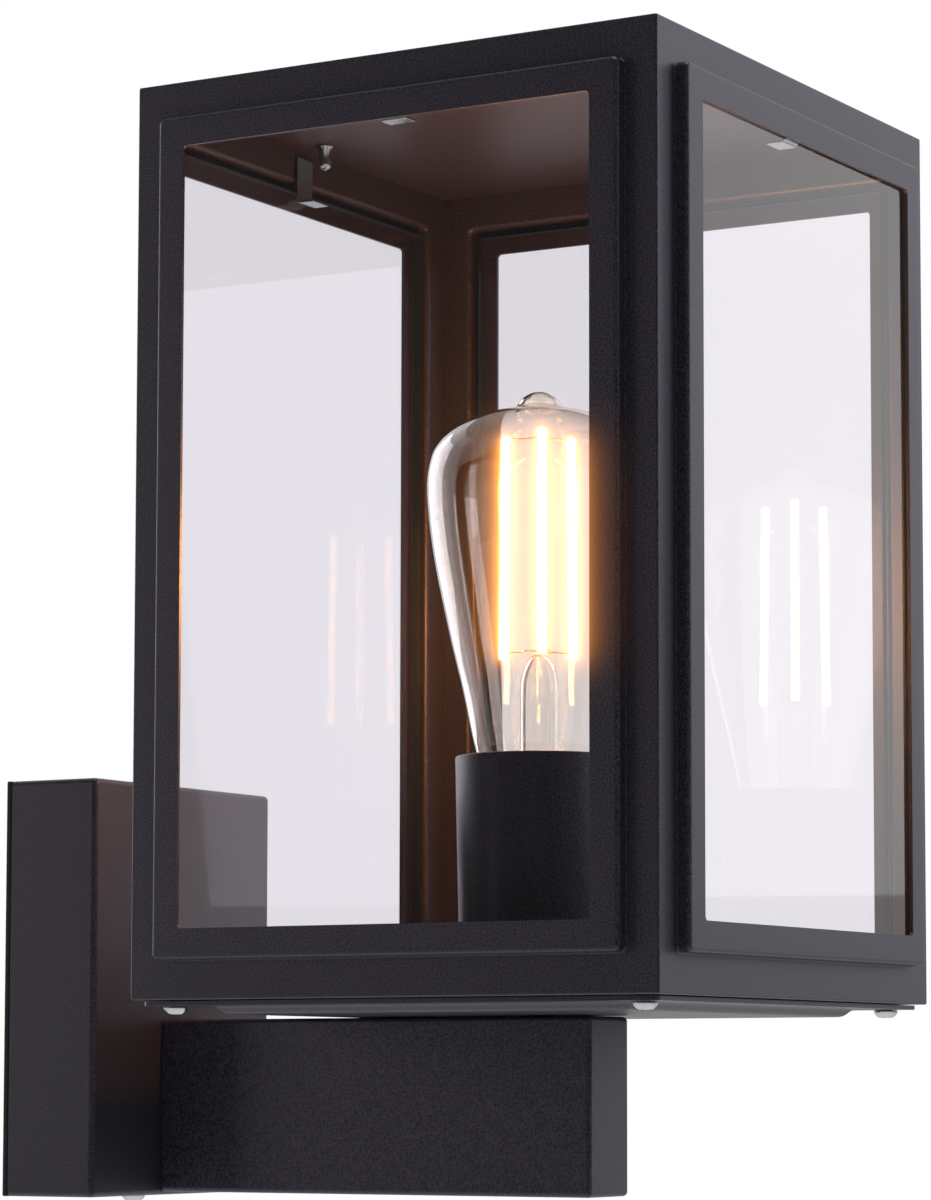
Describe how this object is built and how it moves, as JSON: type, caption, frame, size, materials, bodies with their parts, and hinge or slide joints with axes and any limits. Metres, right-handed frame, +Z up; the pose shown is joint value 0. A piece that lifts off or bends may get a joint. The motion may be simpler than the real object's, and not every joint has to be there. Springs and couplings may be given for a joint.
{
  "type": "outdoor wall lantern",
  "caption": "Wall lantern: a square glazed steel housing on a base pan and side arm in front of a wall box, with an upright screw-in filament lamp in a sleeve.",
  "frame": {"origin": "middle of the wall bracket's back face, on the wall plane", "axes": "+X along the wall, +Y into the wall, +Z up; the lantern stands at negative Y"},
  "size_m": [0.172, 0.239, 0.3114],
  "materials": {
    "powder_coat": "fine-textured black powder coat, satin matt",
    "window_glass": "clear float glass with a faint green edge",
    "lamp_glass": "clear blown glass with a faint warm tint",
    "filament_coating": "yellow phosphor coating, lit warm white",
    "nickel_wire": "drawn nickel wire",
    "nickel_plated_brass": "rolled nickel-plated cap",
    "solder": "dull tin solder",
    "brass": "plain brass",
    "black_moulding": "black heat-proof moulding",
    "ivory_moulding": "ivory moulding",
    "black_rubber": "black closed-cell rubber",
    "zinc_plated_steel": "bright zinc plating",
    "lead_live_sleeving": "brown sleeving",
    "lead_neutral_sleeving": "blue sleeving",
    "lead_earth_sleeving": "green and yellow sleeving"
  },
  "bodies": {
    "base": {"arm": "powder_coat", "arm_end_plate": "zinc_plated_steel", "arm_screw_bottom": "zinc_plated_steel", "arm_screw_top": "zinc_plated_steel", "base_pan": "powder_coat", "cover_screw_bottom": "zinc_plated_steel", "cover_screw_top": "zinc_plated_steel", "earth_screw": "brass", "holder_lower_nut": "zinc_plated_steel", "holder_nipple": "zinc_plated_steel", "holder_sleeve": "powder_coat", "holder_upper_nut": "zinc_plated_steel", "inlet_grommet": "black_rubber", "lead_earth": "lead_earth_sleeving", "lead_live": "lead_live_sleeving", "lead_neutral": "lead_neutral_sleeving", "pan_screw": "zinc_plated_steel", "socket_body": "black_moulding", "socket_contact": "brass", "socket_shell": "brass", "terminal_block": "ivory_moulding", "wall_box": "powder_coat", "wall_bracket": "zinc_plated_steel", "wall_gasket": "black_rubber"},
    "housing": {"corner_lug_left_back": "powder_coat", "corner_lug_left_front": "powder_coat", "corner_lug_right_back": "powder_coat", "corner_lug_right_front": "powder_coat", "housing_back_panel": "powder_coat", "housing_front_panel": "powder_coat", "housing_left_panel": "powder_coat", "housing_right_panel": "powder_coat", "housing_roof": "powder_coat", "pane_back": "window_glass", "pane_clip_back_bottom": "zinc_plated_steel", "pane_clip_back_top": "zinc_plated_steel", "pane_clip_front_bottom": "zinc_plated_steel", "pane_clip_front_top": "zinc_plated_steel", "pane_clip_left_bottom": "zinc_plated_steel", "pane_clip_left_top": "zinc_plated_steel", "pane_clip_right_bottom": "zinc_plated_steel", "pane_clip_right_top": "zinc_plated_steel", "pane_front": "window_glass", "pane_left": "window_glass", "pane_right": "window_glass", "roof_stud": "zinc_plated_steel"},
    "lamp_base": {"lamp_cap": "nickel_plated_brass", "lamp_contact": "solder", "lamp_insulator": "black_moulding"},
    "lamp": {"lamp_filament_1": "filament_coating", "lamp_filament_2": "filament_coating", "lamp_filament_3": "filament_coating", "lamp_glass": "lamp_glass", "lamp_stem": "lamp_glass", "lamp_wires": "nickel_wire"},
    "screw_left_front": {"corner_screw_left_front": "zinc_plated_steel"},
    "screw_left_back": {"corner_screw_left_back": "zinc_plated_steel"},
    "screw_right_front": {"corner_screw_right_front": "zinc_plated_steel"},
    "screw_right_back": {"corner_screw_right_back": "zinc_plated_steel"}
  },
  "joints": [
    {"name": "housing_lift", "type": "slide", "parent": "base", "child": "housing", "axis": [0, 0, 1], "range_m": [0, 0.18]},
    {"name": "lamp_rise", "type": "slide", "parent": "base", "child": "lamp_base", "axis": [0, 0, 1], "range_m": [0, 0.0146]},
    {"name": "lamp_turn", "type": "hinge", "parent": "lamp_base", "child": "lamp", "pos_m": [0, -0.153, 0.025], "axis": [0, 0, 1], "range_deg": [0, 1440]},
    {"name": "corner_screw_left_front_draw", "type": "slide", "parent": "base", "child": "screw_left_front", "axis": [0, 0, -1], "range_m": [0, 0.012]},
    {"name": "corner_screw_left_back_draw", "type": "slide", "parent": "base", "child": "screw_left_back", "axis": [0, 0, -1], "range_m": [0, 0.012]},
    {"name": "corner_screw_right_front_draw", "type": "slide", "parent": "base", "child": "screw_right_front", "axis": [0, 0, -1], "range_m": [0, 0.012]},
    {"name": "corner_screw_right_back_draw", "type": "slide", "parent": "base", "child": "screw_right_back", "axis": [0, 0, -1], "range_m": [0, 0.012]}
  ],
  "couplings": [
    {"joint": "lamp_rise", "follows": "lamp_turn", "m_per_rad": 0.0005775}
  ]
}
